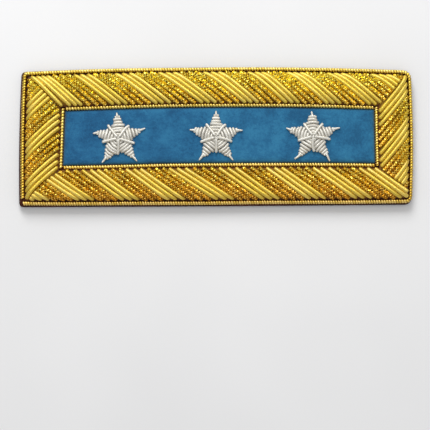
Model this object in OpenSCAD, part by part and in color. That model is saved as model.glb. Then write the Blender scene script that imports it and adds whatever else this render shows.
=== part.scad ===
// Embroidered shoulder board: a stiff cloth-covered board, gold purl border laid in slanting
// bands over a padded crown, wire cords round the edge and the field, and three silver stars.
// It lies face up. X runs along the board, Y across it, Z up from the surface that it lies on.

/* [Board] */
// Length over all
board_l = 102.5; // [90:0.5:130]
// Width over all, at the widest point of the bowed long edge
board_w = 36.4; // [33:0.2:46]
// Thickness of the cloth-covered board
board_t = 2.0; // [1.2:0.1:4]
// How far the top long edge bows outwards in the middle
top_bow = 1.0; // [0:0.1:2]
// How far the right end bows outwards
right_bow = 0.45; // [0:0.05:1.2]
// How far the bottom long edge bows outwards
bottom_bow = 0.1; // [0:0.05:1]
// How far the left end bows outwards
left_bow = 0.3; // [0:0.05:1.2]
// How far a hand-cut corner wanders from true
wander = 0.5; // [0:0.05:1]
// Largest corner radius of the edge cord, on its outside
corner_r = 2.4; // [1.5:0.1:4]
// Dark board that shows past the edge cord on the right
show_right = 0.05; // [0:0.05:1]
// Dark board that shows past the edge cord at the bottom
show_bottom = 0.55; // [0:0.05:1]
// Dark board that shows past the edge cord on the left
show_left = 0.25; // [0:0.05:1]

/* [Cords] */
// Diameter of the ridged wire cord round the edge
outer_cord_d = 1.0; // [0.7:0.05:1.4]
// Diameter of the ridged wire cord round the field
inner_cord_d = 0.9; // [0.6:0.05:1.3]
// Dark line between the edge cord and the purl
outer_gap = 0.4; // [0.3:0.05:0.8]
// Dark line between the purl and the field cord
inner_gap = 0.4; // [0.3:0.05:0.8]

/* [Border] */
// Border at the top, from the edge to the middle of the field cord
border_top = 9.55; // [8:0.05:11]
// Border on the right, measured the same way
border_right = 8.95; // [8:0.05:11]
// Border at the bottom, measured the same way
border_bottom = 9.9; // [8:0.05:11]
// Border on the left, measured the same way
border_left = 10.75; // [8:0.05:12]
// How far the field cord's top run bows outwards
field_top_bow = 0.75; // [0:0.05:1.2]
// How far the field cord's bottom run bows inwards
field_bottom_dip = 0.4; // [0:0.05:0.8]
// Rise of a purl strand from its feet to the crown
crown_h = 1.7; // [1:0.1:2.4]
// Diameter of a smooth purl strand
smooth_d = 1.0; // [0.6:0.05:1.05]
// Diameter of a check purl strand
check_d = 0.95; // [0.6:0.05:1.05]

/* [Field] */
// Thickness of the field cloth
cloth_t = 0.8; // [0.5:0.1:1.4]
// Distance between the stars' middles
star_pitch = 25.15; // [20:0.05:27]
// Radius of a star, from its middle to the end of a tip strand
star_r = 7.2; // [5:0.1:7.2]
// Height of a star's padded body above the field cloth
star_h = 1.3; // [0.8:0.1:2]
// Diameter of the silver strands along a star's valleys and tips
star_strand_d = 0.55; // [0.35:0.05:0.6]
// How far the row of stars sits below the middle of the board
star_drop = 0.3; // [0:0.05:1]

/* [Hidden] */

// Clearance between a strand or cord and what carries it
seat = 0.1;
// Clearance between strands that lie side by side
clear = 0.12;
// Shortest stub of purl worth laying in a corner
min_strand = 1.6;
// How far a strand's square end stays back from its foot, as a share of its diameter
end_trim = 0.45;
// Strands in one repeat of the border, half of them smooth
repeat = 6;
// Smooth strands at the start of the top side, where the first band is wider
top_first_band = 4;

cloth_colour = [0.10, 0.08, 0.10];
field_colour = [0.16, 0.41, 0.58];
gold = [0.83, 0.68, 0.22];
check_gold = [0.72, 0.53, 0.13];
cord_gold = [0.80, 0.66, 0.20];
padding_colour = [0.45, 0.32, 0.08];
silver = [0.86, 0.85, 0.84];

// Corners run clockwise from the top left, and so do the sides: top, right, bottom, left.
TOP = 0;
RIGHT = 1;
BOTTOM = 2;
LEFT = 3;

// Columns: side in x, side in y, wander in x, wander in y, radius
// The wanders are shares of `wander`, inwards positive, and the radius is a share of `corner_r`.
SIDE_X = 0;
SIDE_Y = 1;
PULL_X = 2;
PULL_Y = 3;
ROUND = 4;
CORNERS = [
    [-1, 1, 0.7, 0.4, 0.5],
    [1, 1, 0.4, -0.4, 1.0],
    [1, -1, -0.2, 1.1, 0.8],
    [-1, -1, -0.5, -0.2, 0.5]
];

// Columns: strand pitch along the side, first outer foot, first inner foot, extra lean in the middle
// All but the pitch are shares of it.
PITCH = 0;
FIRST_OUT = 1;
FIRST_IN = 2;
BELLY = 3;
LAY = [
    [1.87, 0.5, 0.5, 0.85],
    [1.80, 0.3, 1.0, 0],
    [1.97, -0.55, 0.6, 0.5],
    [1.71, 0.3, 0.3, 0]
];

bow = [top_bow, right_bow, bottom_bow, left_bow];
shown = [0, show_right, show_bottom, show_left];
border = [border_top, border_right, border_bottom, border_left];
field_bow = [field_top_bow, 0, -field_bottom_dip, 0];

board_top = board_t;
field_top = board_top + cloth_t;
foot_z = board_top + seat + smooth_d / 2;
outer_cord_r = outer_cord_d / 2;
inner_cord_r = inner_cord_d / 2;

// Steps along a bowed side, and along a rounded corner
side_steps = 12;
corner_steps = 5;

function next(i) = (i + 1) % 4;
function last(i) = (i + 3) % 4;
function mix(a, b, t) = a + (b - a) * t;
function unit(v) = v / norm(v);
function hump(u) = max(0, 4 * u * (1 - u));
function outward(a, b) = let (e = unit(b - a)) [-e.y, e.x];
function cross2(a, b) = a.x * b.y - a.y * b.x;

// The side at each corner that runs along X, and the one that runs along Y
function x_side(i) = CORNERS[i][SIDE_Y] > 0 ? TOP : BOTTOM;
function y_side(i) = CORNERS[i][SIDE_X] > 0 ? RIGHT : LEFT;

// A corner of the board, moved inwards by one distance for each side that meets there
function board_corner(i, from_y_side, from_x_side) =
    let (c = CORNERS[i])
    [
        c[SIDE_X] * (board_l / 2 - bow[y_side(i)] - c[PULL_X] * wander - from_y_side),
        c[SIDE_Y] * (board_w / 2 - bow[x_side(i)] - c[PULL_Y] * wander - from_x_side)
    ];

// Corners of the edge cord's outside, inset by d, and of the field cord's middle line, outset by d
function edge_corner(i, d) = board_corner(i, shown[y_side(i)] + d, shown[x_side(i)] + d);
function field_corner(i, d) =
    edge_corner(i, 0)
    - [CORNERS[i][SIDE_X] * (border[y_side(i)] - d), CORNERS[i][SIDE_Y] * (border[x_side(i)] - d)];

// A point on a bowed side between two corners, and the whole side as a list of points
function bowed(a, b, rise, u) = mix(a, b, u) + outward(a, b) * rise * hump(u);
function bowed_side(a, b, rise, from, to) =
    [for (k = [0:side_steps]) bowed(a, b, rise, mix(from, to, k / side_steps))];

// A corner as a quadratic curve between the ends of its two sides
function rounded(p, q, r) =
    [for (k = [1:corner_steps - 1]) let (t = k / corner_steps) mix(mix(p, q, t), mix(q, r, t), t)];

// A closed outline through four corners, each side bowed and each corner rounded
function outline(c, rise, radius) = [
    for (i = [0:3])
        let (
            a = c[i],
            b = c[next(i)],
            length = norm(b - a),
            from = radius[i] / length,
            to = 1 - radius[next(i)] / length,
            c2 = c[next(next(i))],
            after = radius[next(i)] / norm(c2 - b)
        )
        each concat(
            bowed_side(a, b, rise[i], from, to),
            rounded(bowed(a, b, rise[i], to), b, bowed(b, c2, rise[next(i)], after))
        )
];

function corner_radii(inset) = [for (c = CORNERS) max(corner_r * c[ROUND] - inset, 0.05)];

// Direction sideways of a path at point i, lengthened at a bend so that the tube keeps its width
function sideways(path, i) =
    let (
        n = len(path) - 1,
        a = outward(path[max(i - 1, 0)], path[max(i, 1)]),
        b = outward(path[min(i, n - 1)], path[min(i + 1, n)]),
        m = unit(a + b)
    )
    m / (m * a);

// A round tube along a level path, as one closed mesh with flat ends
module tube(path, r, z, sides) {
    n = len(path);
    points = [
        for (i = [0:n - 1])
            let (s = sideways(path, i))
            for (k = [0:sides - 1])
                let (a = 360 * k / sides)
                [path[i].x + s.x * r * cos(a), path[i].y + s.y * r * cos(a), z + r * sin(a)]
    ];
    walls = [
        for (i = [0:n - 2])
            for (k = [0:sides - 1])
                let (k2 = (k + 1) % sides)
                [i * sides + k, i * sides + k2, (i + 1) * sides + k2, (i + 1) * sides + k]
    ];
    first_end = [for (k = [sides - 1:-1:0]) k];
    last_end = [for (k = [0:sides - 1]) (n - 1) * sides + k];
    polyhedron(points, concat([first_end], walls, [last_end]));
}

module backing_board() {
    color(cloth_colour)
        linear_extrude(board_t)
            polygon(outline([for (i = [0:3]) board_corner(i, 0, 0)], bow, corner_radii(0)));
}

module field_cloth() {
    inset = inner_cord_r + seat;
    color(field_colour)
        translate([0, 0, board_top])
            linear_extrude(cloth_t)
                polygon(outline([for (i = [0:3]) field_corner(i, -inset)], field_bow, [0, 0, 0, 0]));
}

// The edge cord starts at the bottom left corner, goes up and round, and ends where it began.
module outer_cord() {
    c = [for (i = [0:3]) edge_corner(i, outer_cord_r)];
    radius = [for (r = corner_radii(outer_cord_r)) max(r, outer_cord_r * 1.4)];
    order = [LEFT, TOP, RIGHT, BOTTOM];
    path = [
        for (i = order)
            let (
                a = c[i],
                b = c[next(i)],
                length = norm(b - a),
                from = i == LEFT ? (outer_cord_d + clear) / length : radius[i] / length,
                to = i == BOTTOM ? 1 : 1 - radius[next(i)] / length,
                c2 = c[next(next(i))],
                after = radius[next(i)] / norm(c2 - b)
            )
            each concat(
                bowed_side(a, b, bow[i], from, to),
                i == BOTTOM ? [] : rounded(bowed(a, b, bow[i], to), b, bowed(b, c2, bow[next(i)], after))
            )
    ];
    color(cord_gold) tube(path, outer_cord_r, board_top + seat + outer_cord_r, 10);
}

// The field cord is four runs. The short runs pass the corners and the long ones stop between them.
module inner_cord(i) {
    a = field_corner(i, 0);
    b = field_corner(next(i), 0);
    upright = i == RIGHT || i == LEFT;
    stop = (upright ? -inner_cord_r / 2 : inner_cord_r + clear) / norm(b - a);
    color(cord_gold)
        tube(bowed_side(a, b, field_bow[i], stop, 1 - stop), inner_cord_r, board_top + seat + inner_cord_r, 8);
}

module inner_cord_top() { inner_cord(TOP); }
module inner_cord_right() { inner_cord(RIGHT); }
module inner_cord_bottom() { inner_cord(BOTTOM); }
module inner_cord_left() { inner_cord(LEFT); }

// The lines of the purl's outer and inner feet, at a distance s along side i
function outer_corner(i) = edge_corner(i, outer_cord_d + outer_gap);
function inner_corner(i) = field_corner(i, inner_cord_r + inner_gap);
function outer_foot(i, s) =
    let (a = outer_corner(i), b = outer_corner(next(i)), l = norm(b - a)) bowed(a, b, bow[i], s / l);
function inner_foot(i, s) =
    let (a = inner_corner(i), b = inner_corner(next(i)), l = norm(b - a)) bowed(a, b, field_bow[i], s / l);
function outer_length(i) = norm(outer_corner(next(i)) - outer_corner(i));

// Outer and inner foot of strand k on side i
function feet(i, k) =
    let (
        p = LAY[i][PITCH],
        out = (LAY[i][FIRST_OUT] + k) * p,
        in = (LAY[i][FIRST_IN] + k + LAY[i][BELLY] * hump(out / outer_length(i))) * p
    )
    [outer_foot(i, out), inner_foot(i, in)];

// Share of the way from foot to foot where a strand comes within `gap` of the line a-b,
// which it lies to the left of
function clear_share(f, a, b, gap) =
    let (
        e = unit(b - a),
        from = cross2(e, f[0] - a) - gap,
        to = cross2(e, f[1] - a) - gap
    )
    from == to ? 0 : from / (from - to);

// Start and end of strand k, as shares of the way from its outer foot to its inner foot.
// It starts inside the edge of the side before, and ends short of the next side's first strand.
function reach(i, k) =
    let (
        f = feet(i, k),
        edge = [outer_corner(i), outer_corner(last(i))],
        first = feet(next(i), 0),
        trim = smooth_d * end_trim / norm(f[1] - f[0]),
        near = clear_share(f, edge[0], edge[1], 0),
        far = clear_share(f, first[1], first[0], smooth_d + clear),
        starts_past = k < repeat && near > 0 && near < 1,
        ends_past = cross2(unit(first[0] - first[1]), f[1] - first[1]) < smooth_d + clear
    )
    [(starts_past ? near : 0) + trim, min(ends_past ? far : 1, 1 - trim)];

function strand_count(i) = floor(outer_length(i) / LAY[i][PITCH]) + 1;
function is_smooth(i, k) = k % repeat < repeat / 2 || (i == TOP && k < top_first_band);

// One purl strand: a round rod bent over the crown, from share t0 to share t1 of its span
module strand(f, t0, t1, d) {
    span = norm(f[1] - f[0]);
    arc_r = (span * span / 4 + crown_h * crown_h) / (2 * crown_h);
    a0 = asin((t0 - 0.5) * span / arc_r);
    a1 = asin((t1 - 0.5) * span / arc_r);
    middle = (f[0] + f[1]) / 2;
    heading = atan2(f[1].y - f[0].y, f[1].x - f[0].x);
    translate([middle.x, middle.y, foot_z + crown_h - arc_r])
        rotate([0, 0, heading])
            rotate([90, 0, 0])
                rotate([0, 0, 90 - a1])
                    rotate_extrude(angle = a1 - a0, $fn = 96)
                        translate([arc_r, 0])
                            circle(d = d, $fn = 16);
}

module purl(i, smooth) {
    for (k = [0:strand_count(i)]) {
        f = feet(i, k);
        r = reach(i, k);
        long_enough = (r[1] - r[0]) * norm(f[1] - f[0]) > min_strand;
        if (is_smooth(i, k) == smooth && long_enough)
            strand(f, r[0], r[1], smooth ? smooth_d : check_d);
    }
}

module smooth_purl_top() { color(gold) purl(TOP, true); }
module smooth_purl_right() { color(gold) purl(RIGHT, true); }
module smooth_purl_bottom() { color(gold) purl(BOTTOM, true); }
module smooth_purl_left() { color(gold) purl(LEFT, true); }
module check_purl_top() { color(check_gold) purl(TOP, false); }
module check_purl_right() { color(check_gold) purl(RIGHT, false); }
module check_purl_bottom() { color(check_gold) purl(BOTTOM, false); }
module check_purl_left() { color(check_gold) purl(LEFT, false); }

// The padding under one side: a crowned strip with mitred ends, a flat underside and low edges.
// Its section is a parabola a little lower than the strands' undersides.
padding_steps = 8;
padding_edge = 0.25;
function padding_rise(v) = padding_edge + (crown_h - padding_edge - seat) * hump(v);

module border_padding(i) {
    inset = smooth_d / 2;
    rows = side_steps;
    cols = padding_steps;
    oa = edge_corner(i, outer_cord_d + outer_gap + inset);
    ob = edge_corner(next(i), outer_cord_d + outer_gap + inset);
    ia = field_corner(i, inner_cord_r + inner_gap + inset);
    ib = field_corner(next(i), inner_cord_r + inner_gap + inset);
    mitre_gap = clear / 2;
    function across(u, v) =
        mix(
            bowed(oa, ob, bow[i], mix(mitre_gap, norm(ob - oa) - mitre_gap, u) / norm(ob - oa)),
            bowed(ia, ib, field_bow[i], mix(mitre_gap, norm(ib - ia) - mitre_gap, u) / norm(ib - ia)),
            v
        );
    top = [
        for (r = [0:rows])
            for (c = [0:cols])
                let (p = across(r / rows, c / cols)) [p.x, p.y, board_top + padding_rise(c / cols)]
    ];
    under = [for (p = top) [p.x, p.y, board_top]];
    w = cols + 1;
    n = len(top);
    faces = [
        for (r = [0:rows - 1])
            for (c = [0:cols - 1])
                let (a = r * w + c) each [
                    [a, a + w, a + w + 1, a + 1],
                    [n + a, n + a + 1, n + a + w + 1, n + a + w]
                ]
    ];
    long_walls = [
        for (r = [0:rows - 1])
            let (a = r * w, b = r * w + cols) each [
                [a, n + a, n + a + w, a + w],
                [b, b + w, n + b + w, n + b]
            ]
    ];
    end_walls = [
        for (c = [0:cols - 1])
            let (a = c, b = rows * w + c) each [
                [a, a + 1, n + a + 1, n + a],
                [b, n + b, n + b + 1, b + 1]
            ]
    ];
    color(padding_colour) polyhedron(concat(top, under), concat(faces, long_walls, end_walls));
}

module border_padding_top() { border_padding(TOP); }
module border_padding_right() { border_padding(RIGHT); }
module border_padding_bottom() { border_padding(BOTTOM); }
module border_padding_left() { border_padding(LEFT); }

// Outline of one ray of a star. Columns: distance along the ray, half width, dip of the surface
// The first two are shares of `star_r`, the dip is a share of the height.
ALONG = 0;
HALF_WIDTH = 1;
DIP = 2;
RAY = [
    [0.402, -0.292, 0.35],
    [0.59, -0.21, 0.1],
    [0.78, -0.13, 0],
    [0.82, 0, 0],
    [0.78, 0.13, 0],
    [0.59, 0.21, 0.1]
];
rays = 5;
star_edge = 0.3;
star_rings = [0.25, 0.5, 0.75, 0.9, 1];
star_gap = 0.05;

function star_x(n) = n * star_pitch;
function ray_point(j, row) =
    let (a = 90 + 360 * j / rays, e = [cos(a), sin(a)], s = [-e.y, e.x])
    (e * row[ALONG] + s * row[HALF_WIDTH]) * star_r;
function star_height(f, dip) = star_edge + (star_h - star_edge) * (1 - pow(f, 2.2)) * (1 - dip * hump(f));

// The padded body of a star, as rings of one outline that shrink towards a raised middle
module star(n) {
    rim = [for (j = [0:rays - 1]) for (row = RAY) [each ray_point(j, row), row[DIP]]];
    m = len(rim);
    rings = len(star_rings);
    points = concat(
        [[0, 0, star_h], [0, 0, 0]],
        [for (f = star_rings) for (p = rim) [p.x * f, p.y * f, star_height(f, p.z)]],
        [for (p = rim) [p.x, p.y, 0]]
    );
    cap = [for (k = [0:m - 1]) [0, 2 + (k + 1) % m, 2 + k]];
    slopes = [
        for (g = [0:rings - 1])
            for (k = [0:m - 1])
                let (a = 2 + g * m + k, b = 2 + g * m + (k + 1) % m) each [[a, b, b + m], [a, b + m, a + m]]
    ];
    base = [for (k = [0:m - 1]) [1, 2 + rings * m + k, 2 + rings * m + (k + 1) % m]];
    color(silver)
        translate([star_x(n), -star_drop, field_top])
            polyhedron(points, concat(cap, slopes, base));
}

module star_left() { star(-1); }
module star_centre() { star(0); }
module star_right() { star(1); }

// Silver strands of a star: one down each valley, from the middle past the notch, and one at each tip
valley_start = 0.09;
valley_end = 0.62;
tip_start = RAY[3][ALONG];

module star_strands(n) {
    r = star_strand_d / 2;
    high = star_h + seat + r;
    low = seat + r;
    run = (valley_end - valley_start) * star_r;
    slope = atan2(high - low, run);
    color(silver)
        translate([star_x(n), -star_drop, field_top])
            for (j = [0:rays - 1]) {
                rotate([0, 0, 90 + 360 * (j + 0.5) / rays])
                    translate([valley_start * star_r, 0, high])
                        rotate([0, 90 + slope, 0])
                            cylinder(r = r, h = norm([run, high - low]), $fn = 24);
                rotate([0, 0, 90 + 360 * j / rays])
                    translate([tip_start * star_r + seat, 0, low])
                        rotate([0, 90, 0])
                            cylinder(r = r, h = (1 - tip_start) * star_r - seat, $fn = 24);
            }
}

module star_left_strands() { star_strands(-1); }
module star_centre_strands() { star_strands(0); }
module star_right_strands() { star_strands(1); }

backing_board();
field_cloth();
outer_cord();
inner_cord_top();
inner_cord_right();
inner_cord_bottom();
inner_cord_left();
border_padding_top();
border_padding_right();
border_padding_bottom();
border_padding_left();
smooth_purl_top();
smooth_purl_right();
smooth_purl_bottom();
smooth_purl_left();
check_purl_top();
check_purl_right();
check_purl_bottom();
check_purl_left();
star_left();
star_centre();
star_right();
star_left_strands();
star_centre_strands();
star_right_strands();
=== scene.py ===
"""Looks of an embroidered shoulder board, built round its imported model.

A board covered in dark cloth carries a border of gold purl, laid slantwise over padding in bands
of smooth and check strands. A ridged wire cord runs round the edge and a finer one round the blue
field, on which three padded stars of silver bullion lie.

The classes hold their sizes in millimetres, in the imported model's frame: X runs along the board,
Y across it, and Z up from the surface that it lies on. Meshes are written in metres.
"""

import logging
from dataclasses import dataclass, fields, replace
from enum import Enum, IntEnum
from functools import cache
from typing import Sequence

import bpy
import numpy as np
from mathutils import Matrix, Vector


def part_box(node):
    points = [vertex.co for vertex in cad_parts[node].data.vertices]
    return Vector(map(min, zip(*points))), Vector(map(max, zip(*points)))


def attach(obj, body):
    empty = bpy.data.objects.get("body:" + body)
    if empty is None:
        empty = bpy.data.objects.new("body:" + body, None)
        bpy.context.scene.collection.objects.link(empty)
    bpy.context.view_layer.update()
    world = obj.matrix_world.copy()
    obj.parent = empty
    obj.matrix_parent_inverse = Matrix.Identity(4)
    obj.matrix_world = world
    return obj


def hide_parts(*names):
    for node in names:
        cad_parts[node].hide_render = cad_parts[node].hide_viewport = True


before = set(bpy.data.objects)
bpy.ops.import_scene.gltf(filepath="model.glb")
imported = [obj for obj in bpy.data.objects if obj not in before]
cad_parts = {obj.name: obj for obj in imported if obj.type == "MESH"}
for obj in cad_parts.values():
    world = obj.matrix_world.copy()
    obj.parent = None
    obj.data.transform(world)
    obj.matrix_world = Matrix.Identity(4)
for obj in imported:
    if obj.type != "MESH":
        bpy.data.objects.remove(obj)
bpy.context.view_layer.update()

Array = np.ndarray
Pair = tuple[float, float]
Sizes = tuple[float, ...]
Colour = tuple[float, float, float]
Socket = bpy.types.NodeSocket
Finish = bpy.types.Material
Piece = bpy.types.Object

MM = 0.001
TAU = 2 * np.pi
UP = np.array((0.0, 0.0, 1.0))
BALL_ANGLES = (18.0, 38.0, 60.0, 90.0)
MAP = "Along"
TINT = "tint"
LOG = logging.getLogger("shoulder_board")


class Side(IntEnum):
    """Sides of the board, clockwise. Each starts at the corner of the same number."""

    TOP = 0
    RIGHT = 1
    BOTTOM = 2
    LEFT = 3

    @property
    def after(self) -> "Side":
        """The next side, clockwise."""
        return Side((self + 1) % 4)

    @property
    def before(self) -> "Side":
        """The side before this one, clockwise."""
        return Side((self + 3) % 4)

    @property
    def word(self) -> str:
        """The side's name as node names have it."""
        return self.name.lower()


class Slot(Enum):
    """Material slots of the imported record."""

    BACKING_CLOTH = "backing_cloth"
    FIELD_CLOTH = "field_cloth"
    CORD_GOLD = "cord_gold"
    PADDING_FELT = "padding_felt"
    SMOOTH_GOLD = "smooth_gold"
    CHECK_GOLD = "check_gold"
    SILVER_BULLION = "silver_bullion"


class Line(Enum):
    """Lines in plan that the gold follows. An offset moves the edge inwards and the field outwards."""

    EDGE = "outside of the edge cord"
    FIELD = "middle of the field cord"


@cache
def packed(node: str) -> Array:
    """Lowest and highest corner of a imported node, in millimetres."""
    return np.array(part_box(node)) / MM


# Surfaces as arrays


@dataclass
class Skin:
    """Closed surfaces as arrays of points and faces, with what the finishes read.

    Args:
        points: (n, 3) places in millimetres.
        quads: (q, 4) point numbers.
        triangles: (t, 3) point numbers.
        quad_map: (q, 4, 2) places of the quads' corners in the texture map.
        triangle_map: (t, 3, 2) places of the triangles' corners in the texture map.
        tint: (n,) share from 0 to 1 that a finish may read as its tone.
    """

    points: Array
    quads: Array
    triangles: Array
    quad_map: Array
    triangle_map: Array
    tint: Array

    def outward(self) -> "Skin":
        """Turns the faces outwards.

        The volume is the sum over triangles of a . (b x c) / 6, and its sign tells which way the
        faces point.

        Returns:
            The skin itself if its volume is positive, and else one with every face turned round.
        """
        q = self.quads
        corners = np.concatenate([q[:, [0, 1, 2]], q[:, [0, 2, 3]], self.triangles])
        a, b, c = (self.points[corners[:, k]] for k in range(3))
        if (a * np.cross(b, c)).sum() > 0:
            return self
        rows = ("quads", "quad_map", "triangles", "triangle_map")
        return replace(self, **{row: getattr(self, row)[:, ::-1] for row in rows})

    @staticmethod
    def joined(skins: Sequence["Skin"]) -> "Skin":
        """Puts several skins into one, which stay apart as loose shells.

        Args:
            skins: The skins, at least one.

        Returns:
            One skin that holds them all.
        """
        starts = np.cumsum([0] + [len(s.points) for s in skins[:-1]])
        skins = [replace(s, quads=s.quads + n, triangles=s.triangles + n) for s, n in zip(skins, starts)]
        return Skin(*(np.concatenate([getattr(s, field.name) for s in skins]) for field in fields(Skin)))

    def piece(self, name: str, finish: Finish, smooth: bool = True) -> Piece:
        """Writes the skin into a new mesh object at the origin.

        Args:
            name: The piece's name.
            finish: Its finish.
            smooth: Whether the faces are shaded as one round surface.

        Returns:
            The new object, linked to the scene.
        """
        mesh = bpy.data.meshes.new(name)
        corners = np.concatenate([self.quads.ravel(), self.triangles.ravel()]).astype(np.int32)
        counts = np.repeat((4, 3), (len(self.quads), len(self.triangles)))
        starts = np.concatenate([[0], np.cumsum(counts)[:-1]]).astype(np.int32)
        places = np.concatenate([self.quad_map.reshape(-1, 2), self.triangle_map.reshape(-1, 2)])
        mesh.vertices.add(len(self.points))
        mesh.vertices.foreach_set("co", (self.points * MM).astype(np.float32).ravel())
        mesh.loops.add(len(corners))
        mesh.loops.foreach_set("vertex_index", corners)
        mesh.polygons.add(len(counts))
        mesh.polygons.foreach_set("loop_start", starts)
        mesh.polygons.foreach_set("use_smooth", np.full(len(counts), smooth))
        mesh.uv_layers.new(name=MAP).data.foreach_set("uv", places.astype(np.float32).ravel())
        tint = mesh.attributes.new(TINT, "FLOAT", "POINT")
        tint.data.foreach_set("value", self.tint.astype(np.float32))
        mesh.materials.append(finish)
        mesh.update()
        mesh.validate()
        obj = bpy.data.objects.new(name, mesh)
        bpy.context.scene.collection.objects.link(obj)
        return obj


def pairs(u: Array, v: Array) -> Array:
    """Joins two like arrays into places (..., 2)."""
    return np.stack(np.broadcast_arrays(u, v), -1)


def lifted(plan: Array, height: Array | float) -> Array:
    """Gives places in plan (..., 2) a height each, or one for all."""
    return np.concatenate([plan, np.broadcast_to(height, plan.shape[:-1])[..., None]], -1)


def wrapped(rings: Array, along: Array, tint: Array | float = 0.5) -> Skin:
    """Closes a row of rings into a skin: each ring is joined to the next, and a fan closes each end.

    Args:
        rings: (r, s, 3) points, s to a ring.
        along: (r,) first place of each ring in the map. The second runs once round the ring.
        tint: Tone of each ring, or of all.

    Returns:
        The closed skin, facing outwards.
    """
    rows, sides = rings.shape[:2]
    row, col = (g.ravel() for g in np.meshgrid(np.arange(rows - 1), np.arange(sides), indexing="ij"))
    here, there, right = row * sides, (row + 1) * sides, (col + 1) % sides
    u0, u1, v0, v1 = along[row], along[row + 1], col / sides, (col + 1) / sides
    edge = np.arange(sides)
    turned = (edge + 1) % sides
    far = (rows - 1) * sides
    first, last = np.full(sides, rows * sides), np.full(sides, rows * sides + 1)
    fan = [pairs(u, (edge + k) / sides) for u in (along[0], along[-1]) for k in (0.5, 0.0, 1.0)]
    tones = np.repeat(np.broadcast_to(tint, rows), sides)
    return Skin(
        points=np.concatenate([rings.reshape(-1, 3), rings[:1].mean(1), rings[-1:].mean(1)]),
        quads=np.stack([here + col, there + col, there + right, here + right], 1),
        triangles=np.concatenate(
            [np.stack([first, edge, turned], 1), np.stack([last, far + turned, far + edge], 1)]
        ),
        quad_map=np.stack([pairs(u0, v0), pairs(u1, v0), pairs(u1, v1), pairs(u0, v1)], 1),
        triangle_map=np.concatenate([np.stack(fan[:3], 1), np.stack([fan[3], fan[5], fan[4]], 1)]),
        tint=np.concatenate([tones, tones[:1], tones[-1:]]),
    ).outward()


def slab(top: Array, under: Array) -> Skin:
    """Closes two like grids, one above the other, with a wall round their four edges.

    Args:
        top: (r, c, 3) points of the upper face.
        under: (r, c, 3) points of the lower face.

    Returns:
        The closed skin, facing outwards. Its map is the plan in millimetres.
    """
    rows, cols = top.shape[:2]
    number = np.arange(rows * cols).reshape(rows, cols)
    a, b, c, d = number[:-1, :-1], number[:-1, 1:], number[1:, 1:], number[1:, :-1]
    face = np.stack([a, b, c, d], -1).reshape(-1, 4)
    rim = np.concatenate([number[0, :-1], number[:-1, -1], number[-1, :0:-1], number[:0:-1, 0]])
    ahead, below = np.roll(rim, -1), rows * cols
    wall = np.stack([rim, rim + below, ahead + below, ahead], 1)
    points = np.concatenate([top.reshape(-1, 3), under.reshape(-1, 3)])
    quads = np.concatenate([face, face[:, ::-1] + below, wall])
    return Skin(
        points=points,
        quads=quads,
        triangles=np.zeros((0, 3), int),
        quad_map=points[quads][..., :2],
        triangle_map=np.zeros((0, 3, 2)),
        tint=np.full(len(points), 0.5),
    ).outward()


def travelled(path: Array) -> Array:
    """Distance travelled along a path at each of its points."""
    return np.concatenate([[0.0], np.cumsum(np.linalg.norm(np.diff(path, axis=0), axis=1))])


def unit(vectors: Array) -> Array:
    """Brings each row of an array to a length of one."""
    return vectors / np.linalg.norm(vectors, axis=-1, keepdims=True)


def placed(path: Array, distances: Array) -> Array:
    """Points of a path at given distances along it, by straight steps between its own points."""
    run = travelled(path)
    return np.stack([np.interp(distances, run, path[:, k]) for k in range(path.shape[1])], 1)


def swept(
    path: Array, wide: Array | float, high: Array | float, sides: int, turn: Array | float = 0.0,
    lean: float = 0.0,
) -> Array:
    """Rings round a path, each an ellipse square to it.

    A point of a ring is: the path + sideways x wide x cos a + upwards x high x sin a, and with a
    lean it is also moved along the path by lean x wide x cos a.

    Args:
        path: (n, 3) points.
        wide: Half width of each ring, or of all.
        high: Half height of each ring, or of all.
        sides: Points in a ring.
        turn: Angle that each ring is turned by, in radians.
        lean: How far a ring leans over along the path, as a share of its half width.

    Returns:
        (n, sides, 3) points.
    """
    angle = np.arange(sides) / sides * TAU + np.reshape(turn, (-1, 1))
    cos, sin = np.cos(angle)[..., None], np.sin(angle)[..., None]
    along = unit(np.gradient(path, axis=0))
    side = unit(np.cross(along, UP))
    raised = np.cross(side, along)
    wide, high = (np.broadcast_to(r, len(path))[:, None, None] for r in (wide, high))
    ring = side[:, None] * cos * wide + raised[:, None] * sin * high
    return path[:, None] + ring + along[:, None] * cos * wide * lean


# Finishes


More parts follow.
